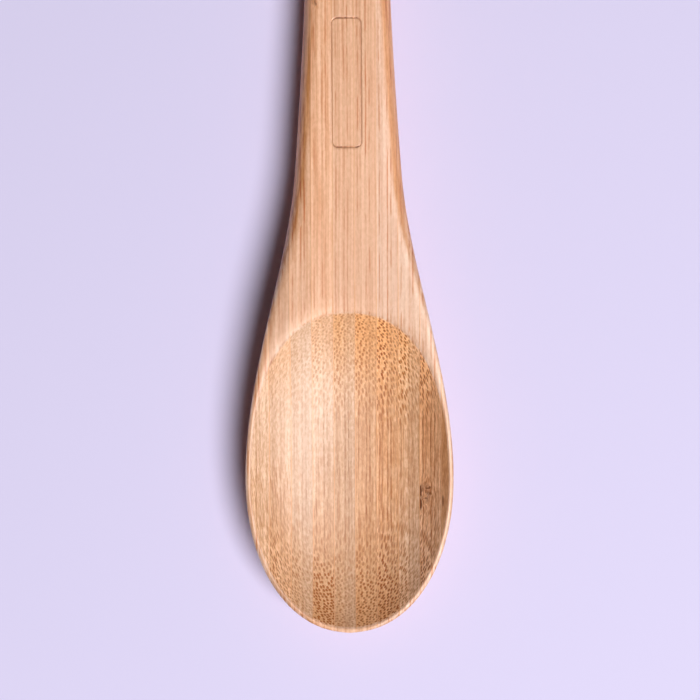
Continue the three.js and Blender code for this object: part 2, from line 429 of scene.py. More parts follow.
def slabMesh(name, left, right, rows, topShares, backShares, sink=0.0):
    topPoints, backPoints = slabPoints(left, right, rows, topShares, backShares, sink)
    ring = np.concatenate([topPoints, backPoints[:, ::-1]], axis=1)
    rowCount, size = ring.shape[:2]
    flat = ring.reshape(-1, 3)
    onTop = np.arange(len(flat)) % size < len(topShares)
    scorch = onTop * np.exp(-(frameDistance(flat[:, 0], flat[:, 1]) / stampedFrame["scorchHalf"]) ** 2)
    carved = onTop * smoothShare(mouthDepth(flat[:, 0], flat[:, 1]), 0, bowlHollow["carvedFrom"])

    # quads between neighbouring rings, wound to face out
    row = np.repeat(np.arange(rowCount - 1), size)
    column = np.tile(np.arange(size), rowCount - 1)
    following = (column + 1) % size
    below, above = row * size, (row + 1) * size
    corners = np.stack([below + column, below + following, above + following, above + column], axis=1)
    spots = mapSpots(rows, topPoints, backPoints, corners)

    # points that fall together are shared, and corners that close up there are left out
    places = flat * mm + np.array([0, tipPlace * mm, 0])
    keys = np.round(places / (meshDetail["weldGap"] * mm)).astype(np.int64)
    first, remap = np.unique(keys, axis=0, return_index=True, return_inverse=True)[1:]
    remap = remap.ravel()
    shared = remap[corners]
    keep = shared != np.roll(shared, -1, axis=1)
    faces, mapPoints = [], []
    for face, kept, corner in zip(shared.tolist(), keep.tolist(), spots.tolist()):
        held = [index for index in range(4) if kept[index]]
        if len(held) >= 3 and len({face[index] for index in held}) == len(held):
            faces.append([face[index] for index in held])
            mapPoints.extend(corner[index] for index in held)
    for endRow, order in ((0, -1), (rowCount - 1, 1)):
        cap = list(dict.fromkeys(remap[endRow * size:(endRow + 1) * size].tolist()))
        if len(cap) >= 3:
            faces.append(cap[::order])
            turns = np.linspace(0, 2 * math.pi, len(cap), endpoint=False)
            circle = np.stack([np.cos(turns), np.sin(turns)], axis=1)
            mapPoints.extend((bakeMap["capPlace"] + bakeMap["capSize"] * circle).tolist())

    mesh = bpy.data.meshes.new(name)
    mesh.from_pydata(places[first].tolist(), [], faces)
    mesh.uv_layers.new(name="OFBake").data.foreach_set("uv", np.array(mapPoints, np.float32).ravel())
    for label, values in (("scorch", scorch), ("carved", carved)):
        attribute = mesh.attributes.new(label, "FLOAT", "POINT")
        attribute.data.foreach_set("value", values[first].astype(np.float32))
    mesh.shade_smooth()
    mesh.set_sharp_from_angle(angle=math.radians(meshDetail["sharpEdge"]))
    return mesh


# A colour as a screen shows it, in the linear values that Blender works with.
def colour(red, green, blue):
    def linear(value):
        share = value / 255
        return share / 12.92 if share <= 0.04045 else ((share + 0.055) / 1.055) ** 2.4
    return (linear(red), linear(green), linear(blue), 1.0)


def addNode(tree, kind, inputs, **settings):
    node = tree.nodes.new(kind)
    for setting, value in settings.items():
        setattr(node, setting, value)
    for key, value in inputs.items():
        if isinstance(value, bpy.types.NodeSocket):
            tree.links.new(value, node.inputs[key])
        else:
            node.inputs[key].default_value = value
    return node


def newMaterial(name):
    material = bpy.data.materials.new(name)
    material.use_nodes = True
    return material, material.node_tree, material.node_tree.nodes["Principled BSDF"]


def calc(tree, operation, first, second=0.0, third=0.0, clamp=False):
    inputs = {0: first, 1: second, 2: third}
    return addNode(tree, "ShaderNodeMath", inputs, operation=operation, use_clamp=clamp).outputs[0]


def times(tree, first, second, clamp=False):
    return calc(tree, "MULTIPLY", first, second, clamp=clamp)


def spanTo(tree, value, fromLow, fromHigh, toLow, toHigh):
    inputs = {0: value, 1: fromLow, 2: fromHigh, 3: toLow, 4: toHigh}
    return addNode(tree, "ShaderNodeMapRange", inputs, interpolation_type="SMOOTHSTEP").outputs[0]


def blendColour(tree, factor, under, over):
    return addNode(tree, "ShaderNodeMix", {0: factor, 6: under, 7: over}, data_type="RGBA").outputs[2]


def vectorCalc(tree, operation, first, second):
    return addNode(tree, "ShaderNodeVectorMath", {0: first, 1: second}, operation=operation).outputs[0]


def scaled(tree, vector, factor):
    return addNode(tree, "ShaderNodeVectorMath", {0: vector, 3: factor}, operation="SCALE").outputs[0]


def axesOf(tree, vector):
    return addNode(tree, "ShaderNodeSeparateXYZ", {0: vector}).outputs


noiseRoughness = 0.55


def grainNoise(tree, place, stretch, start, detail):
    moved = addNode(tree, "ShaderNodeMapping", {"Vector": place, "Location": start, "Scale": stretch})
    inputs = {"Vector": moved.outputs[0], "Scale": 1.0, "Detail": detail, "Roughness": noiseRoughness}
    return addNode(tree, "ShaderNodeTexNoise", inputs).outputs


def tinted(tree, base, tint, share):
    inputs = {0: share, 6: base, 7: tint}
    return addNode(tree, "ShaderNodeMix", inputs, data_type="RGBA", blend_type="MULTIPLY").outputs[2]


# Tints a tone by a noise, from dark to pale, by a share.
def tintLines(tree, base, noise, tints, share):
    line = spanTo(tree, noise, *tints["span"], 0.0, 1.0)
    return tinted(tree, base, blendColour(tree, line, tints["dark"], tints["pale"]), share)


# Thin lines along the fibres, where a noise crosses a level.
def fineLines(tree, noise, level, width):
    away = calc(tree, "ABSOLUTE", calc(tree, "SUBTRACT", noise, level))
    return spanTo(tree, away, 0.0, width, 1.0, 0.0)


# Fine lines that run straight along a strip, about a gap apart, and the pale stretches between them.
def pinLines(tree, across, look):
    steps = times(tree, across, 1 / look["gap"])
    inputs = {"W": steps, "Scale": 1.0, "Randomness": look["looseness"]}
    cells = addNode(tree, "ShaderNodeTexVoronoi", inputs, voronoi_dimensions="1D", feature="F1").outputs
    strength = addNode(tree, "ShaderNodeSeparateColor", {0: cells["Color"]}).outputs[0]
    strength = calc(tree, "POWER", strength, look["evenness"])
    line = times(tree, spanTo(tree, cells["Distance"], *look["lineSpan"], 1.0, 0.0), strength)
    return line, spanTo(tree, cells["Distance"], *look["gapSpan"], 0.0, 1.0)


# Fibre bundles run along the spoon, so a cut shows them as dots: columns, each half a row off the last. This
# gives the dots, and their shades, which differ from one to the next.
def bundleDots(tree, across, upright, fibres, swell=1.0):
    columnGap, rowGap = fibres["columnGap"], fibres["rowGap"]
    sideways = times(tree, across, 0.5 / columnGap)
    first = calc(tree, "MULTIPLY_ADD", upright, 1 / rowGap, sideways)
    second = calc(tree, "MULTIPLY_ADD", upright, -1 / rowGap, sideways)
    lattice = addNode(tree, "ShaderNodeCombineXYZ", {0: first, 1: second}).outputs[0]
    inputs = {"Vector": lattice, "Scale": 1.0, "Randomness": fibres["looseness"]}
    cells = addNode(tree, "ShaderNodeTexVoronoi", inputs, voronoi_dimensions="2D", feature="F1").outputs
    offset = axesOf(tree, vectorCalc(tree, "SUBTRACT", lattice, cells["Position"]))
    sideAway = calc(tree, "ADD", offset[0], offset[1])
    sideAway = times(tree, sideAway, columnGap / fibres["halfWidth"])
    upAway = calc(tree, "SUBTRACT", offset[0], offset[1])
    upAway = times(tree, upAway, rowGap / 2 / fibres["halfHeight"])
    away = addNode(tree, "ShaderNodeCombineXYZ", {0: sideAway, 1: upAway}).outputs[0]
    reach = addNode(tree, "ShaderNodeVectorMath", {0: away}, operation="LENGTH").outputs["Value"]
    reach = calc(tree, "DIVIDE", reach, swell)
    dot = spanTo(tree, reach, fibres["core"], fibres["fade"], 1.0, 0.0)
    strength = addNode(tree, "ShaderNodeSeparateColor", {0: cells["Color"]}).outputs[0]
    strength = calc(tree, "MULTIPLY_ADD", strength, 1 - fibres["evenness"], fibres["evenness"])
    return dot, times(tree, dot, strength)


# Tones of a strip: planed flat, rounded off along the grain, hollowed out by the skin of the cane and at
# its heart, and the fibre bundles. The paler planed tone goes where a face looks up, so it is partly a
# painted highlight.
bambooTones = {
    "bamboo_pale": {
        "planed": colour(236, 183, 145),
        "rounded": colour(236, 171, 116),
        "skin": colour(220, 166, 118),
        "heart": colour(221, 174, 134),
        "bundle": colour(168, 94, 20),
    },
    "bamboo_honey": {
        "planed": colour(235, 181, 142),
        "rounded": colour(236, 174, 127),
        "skin": colour(218, 159, 107),
        "heart": colour(218, 162, 113),
        "bundle": colour(162, 88, 14),
    },
    "bamboo_amber": {
        "planed": colour(236, 185, 150),
        "rounded": colour(235, 172, 123),
        "skin": colour(218, 157, 104),
        "heart": colour(218, 163, 115),
        "bundle": colour(152, 77, 8),
    },
}

# What differs from strip to strip, from left to right. Dots say how strongly the bundles show in the top of
# the hollow, low in it and at its tip. Hollow, low and handle are gains of the tone in those places. The
# pale shares, part pale wood and part painted sheen, are for planed faces, and for the middle, top and low
# end of the hollow.
stripLooks = (
    {"dots": 0.4, "lowDots": 1.2, "tipDots": 0.8, "hollow": 1.14, "low": 1.14, "handle": 0.92,
     "planedPaleAndSheen": 0.0, "paleAndSheen": 0.45, "topPaleAndSheen": 0.5, "lowPaleAndSheen": 0.2, "curl": 0.4},
    {"dots": 0.35, "lowDots": 1.1, "tipDots": 0.8, "hollow": 0.96, "low": 1.18, "handle": 0.8,
     "planedPaleAndSheen": 0.0, "paleAndSheen": 0.45, "topPaleAndSheen": 0.55, "lowPaleAndSheen": 0.2, "curl": 0.8},
    {"dots": 0.28, "lowDots": 0.7, "tipDots": 0.25, "hollow": 0.78, "low": 1.26, "handle": 0.95,
     "planedPaleAndSheen": 0.0, "paleAndSheen": 0.39, "topPaleAndSheen": 1.0, "lowPaleAndSheen": 0.16, "curl": 0.95},
    {"dots": 0.45, "lowDots": 0.85, "tipDots": 1.55, "hollow": 0.88, "low": 1.06, "handle": 1.1,
     "planedPaleAndSheen": 0.07, "paleAndSheen": 0.5, "topPaleAndSheen": 0.6, "lowPaleAndSheen": 0.05, "curl": 0.7},
    {"dots": 0.65, "lowDots": 0.62, "tipDots": 0.4, "hollow": 0.87, "low": 1.08, "handle": 0.97,
     "planedPaleAndSheen": 0.0, "paleAndSheen": 0.23, "topPaleAndSheen": 0.0, "lowPaleAndSheen": 0.12, "curl": 0.0},
    {"dots": 0.8, "lowDots": 0.95, "tipDots": 0.9, "hollow": 0.97, "low": 1.02, "handle": 0.94,
     "planedPaleAndSheen": 0.0, "paleAndSheen": 0.11, "topPaleAndSheen": 0.0, "lowPaleAndSheen": 0.05, "curl": 0.0},
    {"dots": 1.05, "lowDots": 1.25, "tipDots": 1.2, "hollow": 1.1, "low": 0.91, "handle": 0.97,
     "planedPaleAndSheen": 0.28, "paleAndSheen": 0.0, "topPaleAndSheen": 0.0, "lowPaleAndSheen": 0.05, "curl": 0.5},
    {"dots": 1.05, "lowDots": 0.9, "tipDots": 0.35, "hollow": 1.12, "low": 0.96, "handle": 0.97,
     "planedPaleAndSheen": 0.38, "paleAndSheen": 0.06, "topPaleAndSheen": 0.0, "lowPaleAndSheen": 0.28, "curl": 0.5},
    {"dots": 1.1, "lowDots": 1.3, "tipDots": 0.9, "hollow": 1.23, "low": 0.97, "handle": 0.98,
     "planedPaleAndSheen": 0.3, "paleAndSheen": 0.14, "topPaleAndSheen": 0.5, "lowPaleAndSheen": 0.35, "curl": 0.4},
    {"dots": 0.9, "lowDots": 0.9, "tipDots": 0.5, "hollow": 1.1, "low": 1.0, "handle": 0.98,
     "planedPaleAndSheen": 0.3, "paleAndSheen": 0.0, "topPaleAndSheen": 0.5, "lowPaleAndSheen": 0.2, "curl": 0.4},
)

# Joints that the cane had, by the strip's number: place across and from the tip, reach both ways and
# darkness. Flecks are short dark lines by a joint, given the same way.
stripJoints = {
    4: ((-9.2, 180.2, 0.9, 1.0, 0.65),),
    5: ((-1.5, 236.0, 3.6, 1.6, 0.65),),
    6: ((5.0, 262.0, 3.6, 1.6, 0.65),),
    7: ((11.0, 214.0, 3.6, 1.8, 0.65),),
    9: ((21.8, 39.6, 1.9, 3.2, 0.6),),
}
stripFlecks = {
    9: (
        (20.5, 40.2, 0.36, 1.9, 1.0),
        (20.55, 36.4, 0.4, 1.9, 1.0),
        (21.2, 41.0, 0.24, 1.3, 0.5),
        (22.5, 41.0, 0.8, 0.26, 0.7),
        (23.1, 41.3, 0.36, 0.4, 0.75),
        (23.2, 39.6, 0.3, 0.5, 0.65),
        (22.0, 38.1, 0.45, 0.36, 0.6),
    ),
    10: ((26.75, 37.7, 0.24, 1.7, 0.75),),
}

# Look of joints and flecks. Edges and swirl are spans of the distance from one, in shares of its reach.
jointLook = {
    "fray": 1.6,
    "breakSpan": (0.42, 0.6, 0.15, 1.0),  # of the noise that breaks a joint up
    "edgeSpan": (0.5, 1.15),
    "swirlSpan": (0.5, 3.0, 2.6, 0.0),
    "fleckSpan": (0.6, 1.15),
    "colour": colour(100, 40, 0),
    "dullness": 0.5,
}

# Noises of a strip, with their stretch across, along and up. Where one starts moves on by a step with the
# strip's number, so that no two strips are alike.
stripNoises = {
    "wander": {"stretch": (0.03, 0.026, 0.03), "start": (0, 0, 0), "step": (3.1, 7.7, 1), "detail": 2.0},
    "drift": {"stretch": (0.1, 0.012, 0.07), "start": (0, 0, 0), "step": (1.7, 1, 0), "detail": 2.0},
    "thread": {"stretch": (1.3, 0.007, 0.4), "start": (0, 4, 0), "detail": 2.0},
    "dash": {"stretch": (1.5, 0.1, 1.5), "start": (0, 3, 8), "detail": 2.0},
    "stroke": {"stretch": (1.6, 0.28, 1.6), "start": (0, 6, 2), "detail": 2.0},
    "speck": {"stretch": (1.7, 0.7, 1.7), "start": (0, 5, 4), "detail": 2.0},
    "curl": {"stretch": (0.9, 0.05, 0.9), "start": (0, 1, 7), "detail": 3.0},
    "streak": {"stretch": (0.4, 0.012, 0.2), "start": (0, 0, 3), "detail": 3.0},
    "fray": {"stretch": (1.3, 0.5, 1.3), "start": (0, 2, 5), "detail": 3.0},
    "breaks": {"stretch": (1.9, 0.4, 1.9), "start": (0, 8, 1), "detail": 2.0},
    "swirl": {"stretch": (0.35, 0.3, 0.35), "start": (0, 9, 1), "detail": 1.0},
}
noiseStep = (1, 0, 0)  # where a noise names none
noiseMiddle = (0.5, 0.5, 0.5)

# Four numbers are a span and what its two ends give. Spans run from the tip in millimetres where no note
# says otherwise.
bambooGrain = {
    "wander": (0.5, 0.0, 0.5),  # millimetres across, along and up
    "firstColumn": 0.4,
    "layerSpan": (36.0, 62.0, 1.22, 0.96),
    "layerStep": 2.9,
    "skinShare": (0.2, 0.75),  # of the strip's width
    "skinDrift": (0.9, -0.45),  # gain and offset of the drift
    # the pale tone over the hollow is part pale wood, part painted sheen
    "paleAndSheenSpan": (24.0, 58.0),
    "topPaleAndSheenSpan": (66.0, 84.0),
    # painted shade and light: darker low in the hollow and lighter at its top, with painted light at the tip
    "paintedHollowShade": (60.0, 92.0, 0.87, 1.125),
    "paintedTipLight": (8.0, 18.0, 1.07, 1.0),
    "lowShadeSpan": (20.0, 36.0),
    # the rim's pale tone is a painted sheen
    "rimSheenSpan": (84.0, 132.0),
    "rimSheenFacing": (0.0, 0.4),  # how far up the surface faces
    # faces that look up take the pale planed tone, partly a painted highlight
    "planedAndHighlightFacing": (0.78, 0.998),  # likewise
    "hollowPaleness": 0.25,
    "endGrainCut": (0.3, 0.9, 0.0, 0.25),  # how far a cut runs across the fibres
    "curlSpan": (0.42, 0.6),  # of its noise
    "planedCurl": 0.35,
    # painted shade: the neck is a little darker near the hollow
    "paintedNeckShade": (96.0, 140.0, 0.92, 1.0),
    "speckShare": (0.5, 1.0),  # outside the hollow and in it
    "strokeShare": 0.2,
    "lowSpan": (40.0, 62.0),
    "tipDotSpan": (10.4, 26.0),
    "tipSwell": 0.25,
    "heartDots": 0.55,
    "planedDots": 0.1,
    "cutDots": (0.05, 0.35, 0.4, 1.1),  # how far a cut runs across the fibres
    "fibreShare": 0.55,
    "scorchSpan": (0.35, 0.65, 0.5, 1.0),  # of the threads' noise
    # pale wood that also stands in for a painted sheen
    "paleWoodAndSheen": colour(244, 216, 195),
    # painted sheen along the rim
    "rim": colour(243, 207, 183),
    "curled": colour(204, 132, 66),
    "endGrain": colour(206, 128, 66),
    "scorch": colour(120, 64, 26),
    "roughness": 0.42,
    "dotDullness": 0.15,
    "streakDullness": 0.1,
    "specular": 0.5,
    "poreDepth": 0.00004,  # metres
    "poreStrength": 0.6,
    "threadDepth": 0.4,  # share of a pore's depth
}

# Tints of the long threads, with the levels of the noise that they follow and their width in it.
threadTints = {
    "dark": (0.6, 0.42, 0.26, 1.0),
    "planedDark": (0.68, 0.35, 0.13, 1.0),
    "pale": (1.14, 1.2, 1.28, 1.0),
    "darkLevel": 0.5,
    "paleLevel": 0.6,
    "width": 0.1,
    "darkSpan": (0.4, 0.6, 0.3, 0.15),  # of the streaks' noise
    "paleSpan": (0.38, 0.6, 0.15, 0.4),  # of the drift
    "hollowShare": (0.45, 0.85),  # least in the hollow, and gain with its dots
    "cutSpan": (0.1, 0.32, 1.0, 0.4),  # how far a cut runs across the fibres
}

# Pin lines in millimetres, with spans of the distance from a line's middle in shares of the gap.
pinLook = {
    "gap": 1.06,
    "looseness": 0.62,
    "evenness": 0.4,
    "lineSpan": (0.1, 0.27),
    "gapSpan": (0.32, 0.5),
    "paleShare": 0.7,
    "dashSpan": (0.42, 0.58, 0.15, 1.0),  # of the dashes' noise
    "fadeSpan": (0.36, 0.6, 0.6, 1.0),  # of the drift
}

# Tints of the short strokes that a hollow cut leaves, of specks and of broad streaks, each with the span of
# its noise from dark to pale. Then those of the pale net between bundles, and of the finer fibres.
strokeTints = {"dark": (0.86, 0.76, 0.62, 1.0), "pale": (1.12, 1.18, 1.24, 1.0), "span": (0.4, 0.6)}
speckTints = {"dark": (0.9, 0.85, 0.78, 1.0), "pale": (1.07, 1.11, 1.15, 1.0), "span": (0.38, 0.62)}
streakTints = {"dark": (0.975, 0.955, 0.93, 1.0), "pale": (1.015, 1.022, 1.03, 1.0), "span": (0.36, 0.62)}
netTint = (1.22, 1.3, 1.36, 1.0)
fibreTint = (0.76, 0.56, 0.34, 1.0)

# The two sizes of fibre in a cut, in millimetres. Core and fade are shares of their half size, and evenness
# is the least shade of one.
bundleLook = {
    "columnGap": 1.02,
    "rowGap": 0.56,
    "halfWidth": 0.35,
    "halfHeight": 0.21,
    "looseness": 0.56,
    "core": 0.55,
    "fade": 1.25,
    "evenness": 0.55,
}
fibreLook = {
    "columnGap": 0.7,
    "rowGap": 0.42,
    "halfWidth": 0.24,
    "halfHeight": 0.15,
    "looseness": 0.6,
    "core": 0.4,
    "fade": 1.4,
    "evenness": 0.5,
}


def stripNoise(tree, place, label, number):
    noise = stripNoises[label]
    steps = noise.get("step", noiseStep)
    start = [first + step * number for first, step in zip(noise["start"], steps)]
    return grainNoise(tree, place, noise["stretch"], start, noise["detail"])


# Where a point of a strip lies, and how its surface was cut there.
def stripFields(tree, left, right):
    spot = addNode(tree, "ShaderNodeTexCoord", {}).outputs["Object"]
    place = scaled(tree, spot, 1 / mm)
    axes = axesOf(tree, place)
    facing = axesOf(tree, addNode(tree, "ShaderNodeNewGeometry", {}).outputs["Normal"])
    acrossShare = addNode(tree, "ShaderNodeMapRange", {0: axes[0], 1: left, 2: right}).outputs[0]
    return {
        "place": place,
        "axes": axes,
        "fromTip": calc(tree, "SUBTRACT", axes[1], tipPlace),
        "dense": spanTo(tree, acrossShare, *bambooGrain["skinShare"], 1.0, 0.0),
        "facingUp": facing[2],
        "crossCut": calc(tree, "ABSOLUTE", facing[1]),
        "carved": addNode(tree, "ShaderNodeAttribute", {}, attribute_name="carved").outputs["Fac"],
    }


# Distance from a joint or fleck, in shares of its reach.
def awayFrom(tree, axes, mark):
    atAcross, fromTip, reachAcross, reachAlong = mark[:4]
    sideways = calc(tree, "MULTIPLY_ADD", axes[0], 1 / reachAcross, -atAcross / reachAcross)
    lengthways = calc(tree, "MULTIPLY_ADD", axes[1], 1 / reachAlong, -(fromTip + tipPlace) / reachAlong)
    away = addNode(tree, "ShaderNodeCombineXYZ", {0: sideways, 1: lengthways}).outputs[0]
    return addNode(tree, "ShaderNodeVectorMath", {0: away}, operation="LENGTH").outputs["Value"]


# Shade of a cane's joint, and the swirl that it gives to the fibres around it.
def jointMark(tree, fields, joint, number):
    place, look = fields["place"], jointLook
    away = awayFrom(tree, fields["axes"], joint)
    fray = stripNoise(tree, place, "fray", number)[0]
    edge = calc(tree, "ADD", away, calc(tree, "MULTIPLY_ADD", fray, look["fray"], -look["fray"] / 2))
    breaks = spanTo(tree, stripNoise(tree, place, "breaks", number)[0], *look["breakSpan"])
    shade = times(tree, spanTo(tree, edge, *look["edgeSpan"], joint[-1], 0.0), breaks)
    swirl = vectorCalc(tree, "SUBTRACT", stripNoise(tree, place, "swirl", number)["Color"], noiseMiddle)
    return shade, scaled(tree, swirl, spanTo(tree, away, *look["swirlSpan"]))


# The fibres wander a little on their way along the strip, and swirl round its joints. This gives the place
# among them, and the shades of the strip's joints and flecks.
def fibresAndMarks(tree, fields, number):
    place = fields["place"]
    wander = vectorCalc(tree, "SUBTRACT", stripNoise(tree, place, "wander", number)["Color"], noiseMiddle)
    fibrePlace = vectorCalc(tree, "ADD", place, vectorCalc(tree, "MULTIPLY", wander, bambooGrain["wander"]))
    markShades = []
    for joint in stripJoints.get(number, ()):
        shade, swirl = jointMark(tree, fields, joint, number)
        fibrePlace = vectorCalc(tree, "ADD", fibrePlace, swirl)
        markShades.append(shade)
    for fleck in stripFlecks.get(number, ()):
        away = awayFrom(tree, fields["axes"], fleck)
        markShades.append(spanTo(tree, away, *jointLook["fleckSpan"], fleck[-1], 0.0))
    return fibrePlace, markShades


# Tone of the wood without its lines and dots.
def woodTone(tree, fields, noises, tones, look):
    grain = bambooGrain
    fromTip, facingUp, carved = fields["fromTip"], fields["facingUp"], fields["carved"]

    # the hollow is rich by the cane's skin, at the left of each strip, and pale at its heart
    drift = calc(tree, "MULTIPLY_ADD", noises["drift"], *grain["skinDrift"])
    skin = calc(tree, "ADD", fields["dense"], drift, clamp=True)
    base = blendColour(tree, skin, tones["heart"], tones["skin"])
    # pale wood and a painted sheen over the middle and the top of the hollow
    paleAndSheen = spanTo(tree, fromTip, *grain["paleAndSheenSpan"], look["lowPaleAndSheen"], look["paleAndSheen"])
    topPaleAndSheen = spanTo(tree, fromTip, *grain["topPaleAndSheenSpan"], 1.0, look["topPaleAndSheen"])
    base = blendColour(tree, times(tree, paleAndSheen, topPaleAndSheen), base, grain["paleWoodAndSheen"])
    # painted shade: darker low in the hollow, lighter at its top, and painted light lifting the tip
    base = scaled(tree, base, spanTo(tree, fromTip, *grain["paintedHollowShade"]))
    base = scaled(tree, base, spanTo(tree, fromTip, *grain["paintedTipLight"]))
    base = scaled(tree, base, spanTo(tree, fromTip, *grain["lowShadeSpan"], look["low"], 1.0))

    # the outside is rounded off, and pale along the rim where it faces up: a painted sheen
    rim = spanTo(tree, fromTip, *grain["rimSheenSpan"], 1.0, 0.0)
    rim = times(tree, spanTo(tree, facingUp, *grain["rimSheenFacing"], 0.0, 1.0), rim)
    rounded = blendColour(tree, rim, tones["rounded"], grain["rim"])
    base = blendColour(tree, carved, rounded, base)

    # faces that look up are pale, partly as planed wood and partly as a painted highlight; cuts across the
    # fibres are richer, and rounded edges have a curled figure
    pale = spanTo(tree, facingUp, *grain["planedAndHighlightFacing"], 0.0, 1.0)
    pale = times(tree, pale, calc(tree, "MULTIPLY_ADD", carved, grain["hollowPaleness"] - 1, 1.0))
    planed = blendColour(tree, look["planedPaleAndSheen"], tones["planed"], grain["paleWoodAndSheen"])
    base = blendColour(tree, pale, base, planed)
    endGrain = spanTo(tree, fields["crossCut"], *grain["endGrainCut"])
    base = blendColour(tree, endGrain, base, grain["endGrain"])
    curled = spanTo(tree, noises["curl"], *grain["curlSpan"], 0.0, look["curl"])
    curled = times(tree, curled, calc(tree, "SUBTRACT", 1.0, carved))
    curled = times(tree, curled, spanTo(tree, pale, 0.0, 1.0, 1.0, grain["planedCurl"]))
    base = blendColour(tree, curled, base, grain["curled"])
    # painted shade: the neck is a little darker near the hollow
    handle = times(tree, spanTo(tree, fromTip, *grain["paintedNeckShade"]), look["handle"])
    return scaled(tree, base, spanTo(tree, carved, 0.0, 1.0, handle, look["hollow"]))


# Dark and pale lines along the fibres: threads that come and go, and pin lines with pale gaps. They fade
# where the hollow cuts across the fibres.
def threadShades(tree, fields, noises, across, look):
    tints, carved = threadTints, fields["carved"]
    dark = fineLines(tree, noises["thread"], tints["darkLevel"], tints["width"])
    dark = times(tree, dark, spanTo(tree, noises["streak"], *tints["darkSpan"]))
    pinLine, pinGap = pinLines(tree, across, pinLook)
    dashes = calc(tree, "SUBTRACT", noises["stroke"], noises["dash"])
    dashes = calc(tree, "MULTIPLY_ADD", dashes, carved, noises["dash"])
    fading = spanTo(tree, noises["drift"], *pinLook["fadeSpan"])
    fading = times(tree, fading, spanTo(tree, dashes, *pinLook["dashSpan"]))
    dark = calc(tree, "MAXIMUM", dark, times(tree, pinLine, fading))
    least, gain = tints["hollowShare"]
    inHollow = spanTo(tree, carved, 0.0, 1.0, 1.0, least + gain * look["dots"])
    lineShare = spanTo(tree, times(tree, fields["crossCut"], carved), *tints["cutSpan"])
    dark = times(tree, dark, times(tree, inHollow, lineShare))
    pale = fineLines(tree, noises["thread"], tints["paleLevel"], tints["width"])
    pale = times(tree, pale, spanTo(tree, noises["drift"], *tints["paleSpan"]))
    pale = calc(tree, "MAXIMUM", pale, times(tree, pinGap, pinLook["paleShare"]))
    return dark, times(tree, pale, lineShare)


def linedTone(tree, base, fields, noises, darkThread, paleThread):
    carved = fields["carved"]
    darkTint = blendColour(tree, carved, threadTints["planedDark"], threadTints["dark"])
    base = tinted(tree, base, darkTint, darkThread)
    base = tinted(tree, base, threadTints["pale"], paleThread)
    base = tintLines(tree, base, noises["streak"], streakTints, 1.0)
    speckShare = spanTo(tree, carved, 0.0, 1.0, *bambooGrain["speckShare"])
    base = tintLines(tree, base, noises["speck"], speckTints, speckShare)
    strokeShare = times(tree, carved, bambooGrain["strokeShare"])
    return tintLines(tree, base, noises["stroke"], strokeTints, strokeShare)


# Bundles show as dots in cuts and as faint lines on planed faces, with a pale net and finer fibres between
# them. This gives the tone with all of them, and the shade of the bundles.
def dottedTone(tree, base, fields, across, upright, tones, look):
    grain = bambooGrain
    fromTip, carved = fields["fromTip"], fields["carved"]
    tipShare = spanTo(tree, fromTip, *grain["tipDotSpan"], look["tipDots"], 0.0)
    swell = calc(tree, "POWER", calc(tree, "MAXIMUM", tipShare, 1.0), grain["tipSwell"])
    bundle, shade = bundleDots(tree, across, upright, bundleLook, swell)
    fibreShade = bundleDots(tree, across, upright, fibreLook)[1]

    dotShare = spanTo(tree, fromTip, *grain["lowSpan"], look["lowDots"], look["dots"])
    density = spanTo(tree, fields["dense"], 0.0, 1.0, grain["heartDots"], 1.0)
    density = calc(tree, "MAXIMUM", times(tree, density, dotShare), tipShare)
    contrast = spanTo(tree, fields["crossCut"], *grain["cutDots"])
    contrast = times(tree, contrast, spanTo(tree, carved, 0.0, 1.0, grain["planedDots"], 1.0))
    contrast = times(tree, contrast, density)

    gap = calc(tree, "SUBTRACT", 1.0, bundle)
    base = tinted(tree, base, netTint, times(tree, gap, contrast, clamp=True))
    fibreShade = times(tree, fibreShade, times(tree, carved, grain["fibreShare"]))
    base = tinted(tree, base, fibreTint, times(tree, fibreShade, dotShare, clamp=True))
    shade = times(tree, shade, contrast, clamp=True)
    return blendColour(tree, shade, base, tones["bundle"]), shade


